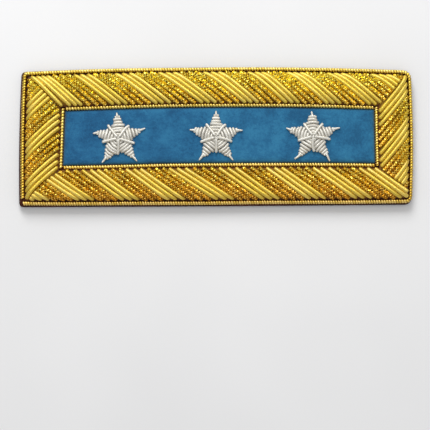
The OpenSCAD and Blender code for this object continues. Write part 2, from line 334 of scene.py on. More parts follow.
class Shade:
    """A new material, with short ways to place and join its nodes."""

    def __init__(self, name: str, sockets: dict[str, float]) -> None:
        """Makes the material and sets the shader's own sockets.

        Args:
            name: The material's name.
            sockets: Values for the shader's sockets that are the same all over.
        """
        self.material = bpy.data.materials.new(name)
        self.material.use_nodes = True
        self.nodes = self.material.node_tree.nodes
        self.links = self.material.node_tree.links
        self.shader = self.nodes["Principled BSDF"]
        for socket, value in sockets.items():
            self.shader.inputs[socket].default_value = value

    def place(self, kind: str, inputs: dict[str | int, object], **settings: object) -> bpy.types.Node:
        """Adds a node, sets its fields, and links or sets its inputs.

        Args:
            kind: The node's type.
            inputs: A socket to link from, or a value, for each named or numbered input.
            settings: Values for the node's own fields.

        Returns:
            The new node.
        """
        node = self.nodes.new(kind)
        for key, value in settings.items():
            setattr(node, key, value)
        for key, value in inputs.items():
            if isinstance(value, Socket):
                self.links.new(value, node.inputs[key])
            else:
                node.inputs[key].default_value = value
        return node

    def millimetres(self) -> Socket:
        """Object coordinates in millimetres."""
        place = self.place("ShaderNodeTexCoord", {}).outputs["Object"]
        return self.place("ShaderNodeMapping", {"Vector": place, "Scale": (1 / MM,) * 3}).outputs[0]

    def noise(self, place: Socket, size: float, detail: float = 2.0, twist: float = 0.0) -> Socket:
        """Soft random tone from 0 to 1, with features about `size` millimetres across."""
        inputs = {"Vector": place, "Scale": 1 / size, "Detail": detail, "Distortion": twist}
        return self.place("ShaderNodeTexNoise", inputs).outputs[0]

    def tint(self) -> Socket:
        """The tint of the piece's own points."""
        return self.place("ShaderNodeAttribute", {}, attribute_name=TINT).outputs["Fac"]

    def own_map(self) -> Socket:
        """The piece's own map: the place along it and the share of the way round."""
        return self.place("ShaderNodeUVMap", {}, uv_map=MAP).outputs[0]

    def ramp(self, tone: Socket, steps: Sizes, *colours: Colour) -> Socket:
        """Colours that follow a tone.

        Args:
            tone: The tone.
            steps: The tone at which each colour is full.
            colours: The colours.

        Returns:
            The colour.
        """
        node = self.place("ShaderNodeValToRGB", {0: tone})
        elements = node.color_ramp.elements
        for _ in colours[2:]:
            elements.new(0.5)
        for element, step, colour in zip(elements, steps, colours):
            element.position = step
            element.color = (*colour, 1.0)
        return node.outputs[0]

    def ranged(self, tone: Socket, to: Pair, span: Pair = (0.25, 0.75)) -> Socket:
        """A tone spread from one span to another, and held at their ends."""
        inputs = {"Value": tone, 1: span[0], 2: span[1], 3: to[0], 4: to[1]}
        return self.place("ShaderNodeMapRange", inputs).outputs[0]

    def math(self, operation: str, *values: Socket | float) -> Socket:
        """One step of arithmetic."""
        return self.place("ShaderNodeMath", dict(enumerate(values)), operation=operation).outputs[0]

    def graded(
        self, colour: Socket, place: Socket, tint: Colour, axis: int = 1, span: Pair = (-18.0, 18.0)
    ) -> Socket:
        """A colour multiplied by a tint at the start of a span along an axis, and plain at its end."""
        along = self.place("ShaderNodeSeparateXYZ", {0: place}).outputs[axis]
        return self.tinted(colour, self.ranged(along, (1.0, 0.0), span), tint)

    def tinted(self, colour: Socket, share: Socket, tint: Colour) -> Socket:
        """A colour multiplied by a tint where the share is 1, and left as it is where it is 0."""
        inputs = {0: share, 6: colour, 7: (*tint, 1.0)}
        return self.place("ShaderNodeMix", inputs, data_type="RGBA", blend_type="MULTIPLY").outputs[2]

    def blend(self, first: Socket, second: Socket, share: float) -> Socket:
        """Mixes two tones: share x first + (1 - share) x second."""
        parts = self.math("MULTIPLY", first, share), self.math("MULTIPLY", second, 1 - share)
        return self.math("ADD", *parts)

    def relief(self, *layers: tuple[Socket, float]) -> None:
        """Roughens the surface by layers of (tone, height in millimetres), one on the other."""
        normal = None
        for tone, height in layers:
            inputs = {"Height": tone, "Distance": height * MM, "Strength": 1.0}
            if normal is not None:
                inputs["Normal"] = normal
            normal = self.place("ShaderNodeBump", inputs).outputs[0]
        self.links.new(normal, self.shader.inputs["Normal"])

    def feed(self, socket: str, value: Socket) -> None:
        """Links a value that varies over the surface to one of the shader's sockets."""
        self.links.new(value, self.shader.inputs[socket])


@dataclass(frozen=True)
class BullionWire:
    """Fine wire wound into a close coil: a satin metal with the coil's turns as relief.

    The turns are the sine of TAU x (distance along / coil pitch + share of the way round). The
    colour is a mix of soft wear and the piece's tint, with painted shade that is full at the board's
    lower edge.
    """

    name: str
    dark: Colour
    middle: Colour
    bright: Colour
    roughness: Pair
    coil_pitch: float
    coil_relief: float
    metallic: float = 1.0
    coat: float = 0.15
    coat_roughness: float = 0.3
    steps: Sizes = (0.25, 0.5, 0.75)
    wear_size: float = 2.6
    wear_share: float = 0.5
    # Painted shade towards the board's lower edge; white leaves the colour plain.
    tarnish: Colour = (1.0, 1.0, 1.0)
    grain: float = 0.5
    grain_relief: float = 0.02

    def make(self) -> Finish:
        """Makes the material.

        Returns:
            The material.
        """
        coat = {"Coat Weight": self.coat, "Coat Roughness": self.coat_roughness}
        shade = Shade(self.name, {"Metallic": self.metallic, **coat})
        place = shade.millimetres()
        wear = shade.noise(place, self.wear_size, detail=3.0)
        # For the cords, the tint also carries painted shade in their grooves and on their upright runs.
        tone = shade.blend(wear, shade.tint(), self.wear_share)
        colour = shade.ramp(tone, self.steps, self.dark, self.middle, self.bright)
        # Painted shade, full at the board's lower edge and gone at its upper edge.
        shade.feed("Base Color", shade.graded(colour, place, self.tarnish))
        shade.feed("Roughness", shade.ranged(wear, self.roughness))
        along, around = shade.place("ShaderNodeSeparateXYZ", {0: shade.own_map()}).outputs[:2]
        turns = shade.math("ADD", shade.math("DIVIDE", along, self.coil_pitch), around)
        wave = shade.math("SINE", shade.math("MULTIPLY", turns, TAU))
        shade.relief((wave, self.coil_relief), (shade.noise(place, self.grain), self.grain_relief))
        return shade.material


@dataclass(frozen=True)
class CheckWire:
    """Glittering wire wound on a faceted core, with painted glints: facets painted bright and dark in
    turn, none quite alike.

    The piece's map holds the ridge's number and the share of the way round, and its tint how much
    painted shade and dullness lie towards the strand's lower end. Painted shade is also full at the
    board's lower edge.
    """

    name: str = "check_gold_wire"
    # Colours of the facets: painted shade, the wire's own gold, and painted glint.
    shadow: Colour = (0.22, 0.10, 0.0)
    middle: Colour = (0.83, 0.54, 0.014)
    bright: Colour = (1.0, 0.94, 0.18)
    roughness: Pair = (0.27, 0.39)
    steps: Sizes = (0.15, 0.45, 0.85)
    patch_size: float = 2.4
    patch_share: float = 0.24
    check_share: float = 0.6
    facets: int = 8
    # Painted shade: towards the board's lower edge, and towards each strand's lower end.
    tarnish: Colour = (0.91, 0.73, 0.7)
    low_tarnish: Colour = (0.92, 0.76, 0.78)
    low_dullness: float = 0.16
    grain: float = 0.12
    grain_relief: float = 0.015

    def make(self) -> Finish:
        """Makes the material.

        Returns:
            The material.
        """
        shade = Shade(self.name, {"Metallic": 1.0})
        place = shade.millimetres()
        patch = shade.noise(place, self.patch_size, detail=1.0)
        scaling = {"Vector": shade.own_map(), "Scale": (1, self.facets, 1)}
        scaled = shade.place("ShaderNodeMapping", scaling).outputs[0]
        facet = {"Vector": shade.place("ShaderNodeVectorMath", {0: scaled}, operation="FLOOR").outputs[0]}
        # Painted glints and shade: each facet painted bright or dark, by a checker and by chance.
        glint_chance = shade.place("ShaderNodeTexWhiteNoise", facet, noise_dimensions="2D").outputs[0]
        check = shade.place("ShaderNodeTexChecker", {"Vector": scaled, "Scale": 1.0}).outputs[1]
        tone = shade.blend(patch, shade.blend(check, glint_chance, self.check_share), self.patch_share)
        colour = shade.ramp(tone, self.steps, self.shadow, self.middle, self.bright)
        # Painted shade towards the board's lower edge and towards each strand's lower end.
        low = shade.tint()
        shaded_colour = shade.tinted(shade.graded(colour, place, self.tarnish), low, self.low_tarnish)
        dullness = shade.math("MULTIPLY", low, self.low_dullness)
        shade.feed("Base Color", shaded_colour)
        shade.feed("Roughness", shade.math("ADD", shade.ranged(patch, self.roughness), dullness))
        shade.relief((shade.noise(place, self.grain), self.grain_relief))
        return shade.material


@dataclass(frozen=True)
class NappedCloth:
    """Woollen cloth with a raised nap: mottled colour, short fibres and a soft bloom at a slant.

    Painted shade may be laid on along one axis: the colour is multiplied by a tint at the start of a
    span, and left plain from the span's end. The colour's tone is half a slow cloud and a quarter each
    of fibres and of tufts, four times as large, and both stand up from the cloth.
    """

    name: str
    deep: Colour
    middle: Colour
    light: Colour
    mottle: float = 5.0
    fibre: float = 0.16
    fibre_twist: float = 1.5
    tuft_twist: float = 0.6
    nap: float = 0.09
    fibre_share: float = 0.6
    steps: Sizes = (0.39, 0.5, 0.61)
    roughness: Pair = (0.85, 1.0)
    sheen: float = 0.25
    sheen_roughness: float = 0.5
    specular: float = 0.2
    # Painted shade along one axis; white leaves the colour plain.
    graded: Colour = (1.0, 1.0, 1.0)
    graded_axis: int = 2
    graded_span: Pair = (2.2, 3.1)

    def make(self) -> Finish:
        """Makes the material.

        Returns:
            The material.
        """
        sheen = {"Sheen Weight": self.sheen, "Sheen Roughness": self.sheen_roughness}
        shade = Shade(self.name, {**sheen, "Specular IOR Level": self.specular})
        place = shade.millimetres()
        cloud = shade.noise(place, self.mottle, detail=3.0)
        fibres = shade.noise(place, self.fibre, detail=3.0, twist=self.fibre_twist)
        tufts = shade.noise(place, self.fibre * 4, detail=2.0, twist=self.tuft_twist)
        half = shade.math("MULTIPLY", cloud, 0.5)
        quarter = shade.math("MULTIPLY", shade.math("ADD", fibres, tufts), 0.25)
        cloth_colour = shade.ramp(shade.math("ADD", half, quarter), self.steps, self.deep, self.middle, self.light)
        # Painted shade laid over the cloth's own colour.
        cloth_colour = shade.graded(cloth_colour, place, self.graded, self.graded_axis, self.graded_span)
        shade.feed("Base Color", cloth_colour)
        shade.feed("Roughness", shade.ranged(fibres, self.roughness))
        shade.relief((tufts, self.nap), (fibres, self.nap * self.fibre_share))
        return shade.material


@dataclass(frozen=True)
class PaleTable:
    """Smooth pale card that the board lies on."""

    name: str = "pale_table"
    low: Colour = (0.78, 0.78, 0.785)
    high: Colour = (0.82, 0.82, 0.825)
    steps: Sizes = (0.3, 0.7)
    cloud_size: float = 60.0
    roughness: Pair = (0.6, 0.75)
    grain: float = 0.8
    grain_relief: float = 0.01
    specular: float = 0.2

    def make(self) -> Finish:
        """Makes the material.

        Returns:
            The material.
        """
        shade = Shade(self.name, {"Specular IOR Level": self.specular})
        place = shade.millimetres()
        cloud = shade.noise(place, self.cloud_size)
        shade.feed("Base Color", shade.ramp(cloud, self.steps, self.low, self.high))
        shade.feed("Roughness", shade.ranged(cloud, self.roughness))
        shade.relief((shade.noise(place, self.grain), self.grain_relief))
        return shade.material


def dressed(
    skin: Skin, name: str, finish: Finish, nodes: Sequence[str],
    smooth: bool = True,
) -> Piece:
    """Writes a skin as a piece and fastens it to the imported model.

    Args:
        skin: The piece's surfaces.
        name: Its name.
        finish: Its finish.
        nodes: The nodes that it stands for, if any.
        smooth: Whether its faces are shaded as one round surface.

    Returns:
        The piece.
    """
    obj = skin.piece(name, finish, smooth)
    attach(obj, "root")
    if nodes:
        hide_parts(*nodes)
    return obj


# Plan of the board


def bowed(start: Array, end: Array, rise: float, share: Array) -> Array:
    """Points between two corners, bowed to the left of the way by rise x 4 share (1 - share).

    Args:
        start: First corner, in plan.
        end: Last corner, in plan.
        rise: Bow in the middle, outwards positive.
        share: Shares of the way. Past the corners the line runs on straight.

    Returns:
        (n, 2) points.
    """
    share = np.asarray(share)[..., None]
    way = end - start
    left = np.array((-way[1], way[0])) / np.hypot(*way)
    return start + way * share + left * rise * np.maximum(4 * share * (1 - share), 0)


@dataclass(frozen=True)
class Corner:
    """One corner of the board. Pulls are shares of the wander, inwards positive."""

    side_x: int
    side_y: int
    pull_x: float
    pull_y: float
    rounding: float


@dataclass(frozen=True)
class BoardPlan:
    """Outline of the board, and the lines in plan that the cords and the purl follow.

    Bows, the rim shown past the edge cord, and the gold border's widths are given for each side, and
    corners from the top left, clockwise. Steps are the points along a side, and along a corner.
    """

    length: float
    width: float
    thickness: float
    bows: Sizes = (1.0, 0.45, 0.1, 0.3)
    field_bows: Sizes = (0.75, 0.0, -0.4, 0.0)
    shown: Sizes = (0.0, -0.15, 0.42, 0.5)
    borders: Sizes = (9.65, 9.05, 9.83, 10.4)
    wander: float = 0.5
    largest_radius: float = 2.4
    corners: tuple[Corner, ...] = (
        Corner(-1, 1, 0.7, 0.4, 0.5),
        Corner(1, 1, 0.4, -0.4, 1.0),
        Corner(1, -1, -0.2, 1.1, 0.8),
        Corner(-1, -1, -0.5, -0.2, 0.5),
    )
    steps: int = 24

    @classmethod
    def from_frame(cls) -> "BoardPlan":
        """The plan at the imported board's own length, width and thickness."""
        low, high = packed("backing_board")
        return cls(*(high - low))

    def sides_at(self, corner: Corner) -> tuple[Side, Side]:
        """The upright side and the level side that meet at a corner."""
        upright = Side.RIGHT if corner.side_x > 0 else Side.LEFT
        return upright, Side.TOP if corner.side_y > 0 else Side.BOTTOM

    def board_corner(self, number: int, inset: Pair = (0.0, 0.0)) -> Array:
        """A corner of the board.

        Args:
            number: The corner's number, from the top left, clockwise.
            inset: How far it is moved inwards, in x and in y.

        Returns:
            The corner, in plan.
        """
        corner = self.corners[number % 4]
        upright, level = self.sides_at(corner)
        x = self.length / 2 - self.bows[upright] - corner.pull_x * self.wander - inset[0]
        y = self.width / 2 - self.bows[level] - corner.pull_y * self.wander - inset[1]
        return np.array((corner.side_x * x, corner.side_y * y))

    def corner(self, line: Line, number: int, offset: float) -> Array:
        """A corner of a line. The field's lies a border's width from the edge's.

        Args:
            line: The line.
            number: The corner's number, from the top left, clockwise.
            offset: How far the line is moved.

        Returns:
            The corner, in plan.
        """
        corner = self.corners[number % 4]
        upright, level = self.sides_at(corner)
        if line is Line.EDGE:
            return self.board_corner(number, (self.shown[upright] + offset, self.shown[level] + offset))
        border = np.array((self.borders[upright], self.borders[level])) - offset
        return self.corner(Line.EDGE, number, 0) - np.array((corner.side_x, corner.side_y)) * border

    def ends(self, line: Line, side: Side, offset: float) -> tuple[Array, Array]:
        """The two corners of one side of a line."""
        return self.corner(line, side, offset), self.corner(line, side + 1, offset)

    def along(self, line: Line, side: Side, offset: float, share: Array | float) -> Array:
        """Points of one side of a line, at shares of the way from corner to corner."""
        bows = self.bows if line is Line.EDGE else self.field_bows
        return bowed(*self.ends(line, side, offset), bows[side], share)

    def point(self, line: Line, side: Side, offset: float, place: float) -> Array:
        """The point of one side of a line at a given x, or at a given y on an upright side."""
        start, end = (corner[side % 2] for corner in self.ends(line, side, offset))
        return self.along(line, side, offset, (place - start) / (end - start))

    def radius(self, number: int, inset: float, least: float = 0.05) -> float:
        """Radius of a corner, moved inwards."""
        return max(self.corners[number % 4].rounding * self.largest_radius - inset, least)

    def run(
        self, points: Sequence[Array], radii: Sequence[float], sides: Sequence[Side], steps: int
    ) -> Array:
        """A line along several sides, rounded where they meet.

        A rounded corner is the quadratic curve between the ends of its two sides, with the corner
        as its middle point: (1 - t)^2 start + 2 t (1 - t) corner + t^2 end.

        Args:
            points: The corners, one more than the sides.
            radii: How far each side stops short of each corner.
            sides: The sides that the line follows, in order.
            steps: Points along a side, and along a corner.

        Returns:
            (n, 2) points.
        """
        parts = []
        t = np.linspace(0, 1, steps)
        for k, side in enumerate(sides):
            a, b = points[k], points[k + 1]
            length = np.hypot(*(b - a))
            share = (radii[k] + (length - radii[k] - radii[k + 1]) * t) / length
            parts.append(bowed(a, b, self.bows[side], share))
        for k in range(len(parts) - 1, 0, -1):
            start, middle, end = parts[k - 1][-1], points[k], parts[k][0]
            s = t[1:-1, None]
            parts.insert(k, (1 - s) ** 2 * start + 2 * s * (1 - s) * middle + s**2 * end)
        return np.concatenate(parts)

    def outline(self, inset: float) -> Array:
        """The board's closed outline.

        Args:
            inset: How far it is moved inwards.

        Returns:
            (n, 2) points, as many at any inset.
        """
        numbers = [*Side, Side.TOP, Side.RIGHT]
        points = [self.board_corner(n, (inset, inset)) for n in numbers]
        radii = [self.radius(n, inset) for n in numbers]
        line = self.run(points, radii, numbers[:-1], self.steps)
        return line[: len(Side) * (2 * self.steps - 2)]


# Sub-assemblies


@dataclass(frozen=True)
class CoveredBoard:
    """Stiff board with dark cloth drawn over its edges.

    Its skin is the outline carried through a row of insets and heights: in along the underside,
    round a quarter circle, up the wall, round a larger quarter circle and in along the top.
    """

    plan: BoardPlan
    lower_round: float = 0.5
    upper_round: float = 0.7
    arc_steps: int = 6
    inner_insets: Sizes = (1.6, 4.0, 9.0, 15.0)
    finish: NappedCloth = NappedCloth(
        "dark_cover_cloth",
        (0.03, 0.007, 0.003),
        (0.065, 0.015, 0.006),
        (0.11, 0.03, 0.012),
        mottle=7.0,
        sheen=0.04,
        # Painted shade: the cover is darker low on the board's wall, towards the table.
        graded=(0.24, 0.3, 0.55),
        graded_span=(1.3, 2.0),
    )

    def build(self) -> list[Piece]:
        """Makes the piece.

        Returns:
            The piece.
        """
        turn = np.linspace(0, TAU / 4, self.arc_steps)
        low, high, top = self.lower_round, self.upper_round, self.plan.thickness
        far = np.array(self.inner_insets)
        out, up = 1 - np.sin(turn), 1 - np.cos(turn)
        insets = np.concatenate([far[::-1], low * out, high * up, far])
        heights = np.concatenate([far * 0, low * up, top - high * out, far * 0 + top])
        rings = np.stack([lifted(self.plan.outline(inset), z) for inset, z in zip(insets, heights)])
        skin = wrapped(rings, travelled(np.column_stack([insets, heights])))
        return [dressed(skin, "board_cover", self.finish.make(), ["backing_board"])]


@dataclass(frozen=True)
class FieldCloth:
    """Blue cloth laid inside the border, drawn down along its edges by the cord's stitches.

    Its top is: the cloth's height - drop x exp(-distance to the edge / reach) + a slow swell. With
    lengths a to d, the swell is: sin(x / a + first start) cos(y / b) + sin(x / c + y / d + second).
    """

    plan: BoardPlan
    inset: float = 0.56
    rows: int = 60
    cols: int = 240
    edge_drop: float = 0.72
    edge_reach: float = 0.45
    swell: float = 0.03
    swell_lengths: Sizes = (4.1, 3.3, 9.7, 6.1)
    swell_starts: Pair = (0.7, 2.0)
    finish: NappedCloth = NappedCloth(
        "blue_field_cloth",
        (0.0105, 0.094, 0.204),
        (0.0185, 0.143, 0.286),
        (0.031, 0.195, 0.352),
        # Painted shade: the field darker towards the left end, lighter towards the right.
        graded=(0.70, 0.76, 0.86),
        graded_axis=0,
        graded_span=(-40.0, 40.0),
    )

    def build(self) -> list[Piece]:
        """Returns:
            The piece.
        """
        low, high = packed("field_cloth")
        u, v = np.linspace(0, 1, self.cols), np.linspace(0, 1, self.rows)[:, None, None]
        upper = self.plan.along(Line.FIELD, Side.TOP, -self.inset, u)
        lower = self.plan.along(Line.FIELD, Side.BOTTOM, -self.inset, 1 - u)
        plan = lower + (upper - lower) * v
        x, y = plan[..., 0], plan[..., 1]
        span_u, span_v = high[0] - low[0], high[1] - low[1]
        edge = np.minimum(np.minimum(u, 1 - u)[None] * span_u, np.minimum(v, 1 - v)[..., 0] * span_v)
        (a, b, c, d), (first, second) = self.swell_lengths, self.swell_starts
        wave = np.sin(x / a + first) * np.cos(y / b) + np.sin(x / c + y / d + second)
        height = high[2] - self.edge_drop * np.exp(-edge / self.edge_reach) + self.swell * wave
        skin = slab(lifted(plan, height), lifted(plan, low[2]))
        obj = dressed(skin, "field_felt", self.finish.make(), ["field_cloth"])
        return [obj]


@dataclass(frozen=True)
class RidgedCord:
    """Wire cord whose coil shows as a row of rounded ridges, each leaning a little.

    The radius is: the cord's radius - groove x (1 - the square root of 1 - (2 x)^2), where x runs
    from -1/2 to 1/2 over each ridge. The tint is: the ridge's own tone x painted shade in the
    grooves, (1 + groove shade - (2 x)^2, at most 1), x painted shade on the runs up the board's sides,
    (1 - upright shade x the share of the way that runs up or down the board).
    """

    diameter: float
    groove: float = 0.22
    lean: float = 0.25
    rings_to_a_ridge: int = 6
    sides: int = 12
    end: float = 0.35
    end_start: float = 0.05
    wobble: float = 0.04
    wobble_lengths: Pair = (5.0, 14.0)
    wobbles: int = 4
    ridge_tones: Pair = (0.55, 1.0)
    # Painted shade: darker towards each groove, and on the runs up the board's sides.
    groove_tone: float = 0.25
    dull: float = 0.0

    def skin(self, line: Array, pitch: Array, height: float, seed: int) -> Skin:
        """Winds the cord along a line.

        Args:
            line: (n, 2) points of its middle line in plan, close together.
            pitch: (n,) distance from ridge to ridge at each point.
            height: Height of the middle line.
            seed: Seed of the line's slight wandering.

        Returns:
            The closed skin.
        """
        run = travelled(line)
        middle_pitch = (pitch[1:] + pitch[:-1]) / 2
        phase = np.concatenate([[0.0], np.cumsum(np.diff(run) / middle_pitch)])
        rings = np.arange(0, phase[-1], 1 / self.rings_to_a_ridge)
        distance = np.interp(rings, phase, run)
        x = rings % 1 - 0.5
        radius = self.diameter / 2 - self.groove * (1 - np.sqrt(np.maximum(1 - (2 * x) ** 2, 0)))
        ends = np.minimum(distance, run[-1] - distance) / self.end
        radius = radius * np.sqrt(1 - (1 - np.clip(ends, self.end_start, 1)) ** 2)
        rng = np.random.default_rng(seed)
        lengths, starts = rng.uniform(*self.wobble_lengths, self.wobbles), rng.uniform(0, TAU, self.wobbles)
        sway = np.sin(distance[:, None] / lengths + starts).sum(1) * self.wobble / 2
        path = lifted(placed(line, distance), height)
        side = np.cross(unit(np.gradient(path, axis=0)), UP)
        path = path + side * sway[:, None]
        tone = rng.uniform(*self.ridge_tones, int(rings[-1]) + 1)[rings.astype(int)]
        # Painted shade in the grooves between ridges.
        tone *= np.minimum(1 + self.groove_tone - (2 * x) ** 2, 1)
        skin = swept(path, radius, radius, self.sides, lean=self.lean)
        # Painted shade on the runs up and down the board's sides.
        return wrapped(skin, distance, tone * (1 - self.dull * np.abs(side[:, 0])))


@dataclass(frozen=True)
class Cords:
    """Gold cords: one round the board's edge, and four runs round the field.

    The edge cord starts at the bottom left corner, goes up and round, and ends where it began. It
    takes no corner tighter than `tightest` times its radius. The field's upright runs pass the
    corners and its level runs stop between them.
    """

    plan: BoardPlan
    # The edge cord is painted darker where it runs up the board's sides.
    edge: RidgedCord = RidgedCord(1.08, dull=0.38)
    inner: RidgedCord = RidgedCord(1.06)
    edge_pitches: Sizes = (0.70, 0.72, 0.66, 0.70)
    inner_pitches: Sizes = (0.75, 0.66, 0.71, 0.79)
    gap: float = 0.12
    tightest: float = 1.4
    edge_steps: int = 60
    inner_steps: int = 80
    edge_seed: int = 11
    inner_seed: int = 20
    finish: BullionWire = BullionWire(
        "gold_cord_wire",
        (0.44, 0.27, 0.02),
        (0.75, 0.545, 0.075),
        (0.93, 0.73, 0.21),
        roughness=(0.34, 0.46),
        coil_pitch=0.14,
        coil_relief=0.004,
        wear_share=0.2,
        # Painted shade towards the board's lower edge.
        tarnish=(0.97, 0.88, 0.9),
    )

    def edge_skin(self) -> Skin:
        """Winds the cord round the board's edge.

        Returns:
            The closed skin.
        """
        r = self.edge.diameter / 2
        sides = [Side.LEFT, Side.TOP, Side.RIGHT, Side.BOTTOM]
        numbers = [*sides, Side.LEFT]
        points = [self.plan.corner(Line.EDGE, n, r) for n in numbers]
        radii = [self.plan.radius(n, r, least=r * self.tightest) for n in numbers]
        radii[0], radii[-1] = self.edge.diameter + self.gap, 0.0
        line = self.plan.run(points, radii, sides, self.edge_steps)
        side_along = np.repeat(sides, 2 * self.edge_steps - 2)[: len(line)]
        pitch = np.array(self.edge_pitches)[side_along]
        return self.edge.skin(line, pitch, packed("outer_cord")[:, 2].mean(), self.edge_seed)

    def inner_skin(self, side: Side) -> Skin:
        """Winds one run of the cord round the field.

        Args:
            side: The side of the field.

        Returns:
            The closed skin.
        """
        r = self.inner.diameter / 2
        start, end = self.plan.ends(Line.FIELD, side, 0)
        upright = side in (Side.LEFT, Side.RIGHT)
        stop = (-r / 2 if upright else r + self.gap) / np.hypot(*(end - start))
        line = self.plan.along(Line.FIELD, side, 0, np.linspace(stop, 1 - stop, self.inner_steps))
        pitch = np.full(len(line), self.inner_pitches[side])
        height = packed(f"inner_cord_{side.word}")[:, 2].mean()
        return self.inner.skin(line, pitch, height, self.inner_seed + side)

    def build(self) -> list[Piece]:
        """Makes the cords.

        Returns:
            The five pieces.
        """
        rows = [("edge_cord", "outer_cord", self.edge_skin())]
        rows += [(f"field_cord_{s.word}", f"inner_cord_{s.word}", self.inner_skin(s)) for s in Side]
        gold = self.finish.make()
        return [dressed(skin, name, gold, [node]) for name, node, skin in rows]


@dataclass(frozen=True)
class Crown:
    """Section of the raised border, from the outer foot (0) to the inner foot (1).

    Up to the peak it rises as a superellipse, (1 - (1 - x)^wall)^(1 / wall), which is steep at the
    foot. Beyond it, it falls as 1 - drop x^fall. Samples is how finely its length is measured.
    """

    height: float = 1.7
    peak: float = 0.42
    wall: float = 2.6
    fall: float = 2.3
    drop: float = 0.8
    samples: int = 2001

    def shares(self, across: Array) -> tuple[Array, Array]:
        """How far the section has risen, and how far it has fallen.

        Args:
            across: Shares of the way across.

        Returns:
            Shares of the height risen on the outer side, and left on the inner side.
        """
        up = np.clip(1 - across / self.peak, 0, 1)
        down = np.clip((across - self.peak) / (1 - self.peak), 0, 1)
        return (1 - up**self.wall) ** (1 / self.wall), 1 - self.drop * down**self.fall

    def rise(self, across: Array) -> Array:
        """Height of the strands' middle line above its feet."""
        outer, inner = self.shares(across)
        return self.height * outer * inner

    def unrolled(self, width: float, steps: int) -> Array:
        """Shares of the way across at equal steps along the section, laid out flat.

        Args:
            width: Distance in plan between the feet.
            steps: How many shares.

        Returns:
            (steps,) shares from 0 to 1.
        """
        across = (1 - np.cos(np.linspace(0, TAU / 2, self.samples))) / 2
        run = travelled(np.column_stack([across * width, self.rise(across)]))
        return np.interp(np.linspace(0, run[-1], steps), run, across)


def stations(length: float, end: float, step: float) -> tuple[Array, Array]:
    """Where a strand's rings lie, and how large each is.

    Over a rounded end the size is that of a ball: the square root of 1 - (1 - distance / end)^2.
    The rings there lie at a few angles round the ball.

    Args:
        length: The strand's length.
        end: Length of a rounded end.
        step: Distance between rings along its straight part.

    Returns:
        Distances along the strand, and shares of its full radius.
    """
    end = min(end, length / 3)
    start = end * (1 - np.cos(np.radians(BALL_ANGLES)))
    middle = np.linspace(end, length - end, max(int((length - 2 * end) / step), 2) + 1)[1:-1]
    distances = np.concatenate([start, middle, length - start[::-1]])
    nearest = np.minimum(distances, length - distances)
    return distances, np.sqrt(1 - (1 - np.minimum(nearest / end, 1)) ** 2)


@dataclass(frozen=True)
class PlainStrand:
    """A length of smooth bullion: an oval tube with rounded ends."""

    width: float
    height: float
    sides: int = 14
    step: float = 0.35
    end: float = 0.45

    def skin(self, path: Array, tint: float, taper: float = 0.0) -> Skin:
        """Carries the strand along a path.

        Args:
            path: (n, 3) points.
            tint: The strand's tone.
            taper: Share of the thickness lost from the start to the end.

        Returns:
            The closed skin.
        """
        distances, share = stations(travelled(path)[-1], self.end, self.step)
        share *= 1 - taper * distances / distances[-1]
        radii = share * self.width / 2, share * self.height / 2
        return wrapped(swept(placed(path, distances), *radii, self.sides), distances, tint)


@dataclass(frozen=True)
class CheckStrand:
    """A length of check bullion: a row of short faceted ridges.

    A ring of few sides, shaded flat, follows the radii of each ridge, and each of its corners
    strays in or out a little. Every ridge is turned half a facet from the last, and the odd share of
    them anyhow. Aims and turns are in facets. The map counts the ridges, from a number that strands
    seldom share. The tint is the square of the share of the way down to the strand's lower end, which
    the finish reads as painted shade there.
    """

    width: float
    height: float
    ridge: float = 0.37
    radii: Sizes = (0.82, 1.0)
    sides: int = 8
    stray: float = 0.05
    aim: float = 0.25
    aim_stray: float = 0.12
    odd_share: float = 0.12
    first_hundreds: tuple[int, int] = (1, 90)
    number_shift: float = 1e-3

    def skin(self, path: Array, rng: np.random.Generator) -> Skin:
        """Carries the ridges along a path.

        Args:
            path: (n, 3) points.
            rng: Source of the ridges' turns, of their first number and of their corners' straying.

        Returns:
            The closed skin.
        """
        length = travelled(path)[-1]
        steps = len(self.radii)
        ridges = max(int(length / self.ridge), 1)
        step = np.arange(ridges * steps + 1)
        ridge, part = np.minimum(step // steps, ridges - 1), step % steps
        share = np.array(self.radii)[part]
        share[[0, -1]] /= 2
        turns = self.aim + np.arange(ridges) % 2 / 2 + rng.normal(0, self.aim_stray, ridges)
        turns = np.where(rng.random(ridges) < self.odd_share, rng.random(ridges), turns)
        numbers = step / steps + rng.integers(*self.first_hundreds) * 100 + self.number_shift
        centres = placed(path, step / step[-1] * length)
        radii = share * self.width / 2, share * self.height / 2
        rings = swept(centres, *radii, self.sides, turns[ridge] * TAU / self.sides)
        stray = rng.normal(0, self.stray, (len(step), self.sides, 1))
        # Tint: square of the share of the way down, which the finish reads as painted shade.
        down = centres[:, 1].max() - centres[:, 1]
        return wrapped(rings + (rings - centres[:, None]) * stray, numbers, (down / down.max()) ** 2)


Places = tuple[tuple[int, float], ...]


@dataclass(frozen=True)
class Lay:
    """How the strands of one side are laid, counted along the side. Those before 0 are smooth.

    A few strands have their places given, as (number, x) or on an upright side (number, y), and the
    rest lie evenly between those.

    Args:
        outer: Where strands meet the outer foot line, but for their hooks.
        inner: Where they meet the inner foot line.
        foot: Distance from the edge to the strands' middle line at the outer foot.
        clearance: Gap between the strands' inner ends and the field cord.
        hook: How far the outer end of the first and of the last strand bends back along the side.
        tail: How far the strand runs ahead before it turns across at the inner end.
        squeeze: How much closer together the inner ends of a smooth band lie.
        last_smooth: Number of the last strand that may be smooth.
    """

    outer: Places
    inner: Places
    foot: float
    clearance: float
    hook: Pair
    tail: float = 0.0
    squeeze: float = 0.0
    last_smooth: int = 99

    @property
    def first(self) -> int:
        """Number of the first strand."""
        return self.outer[0][0]

    @property
    def last(self) -> int:
        """Number of the last strand, which a corner may leave no room for."""
        return self.outer[-1][0]


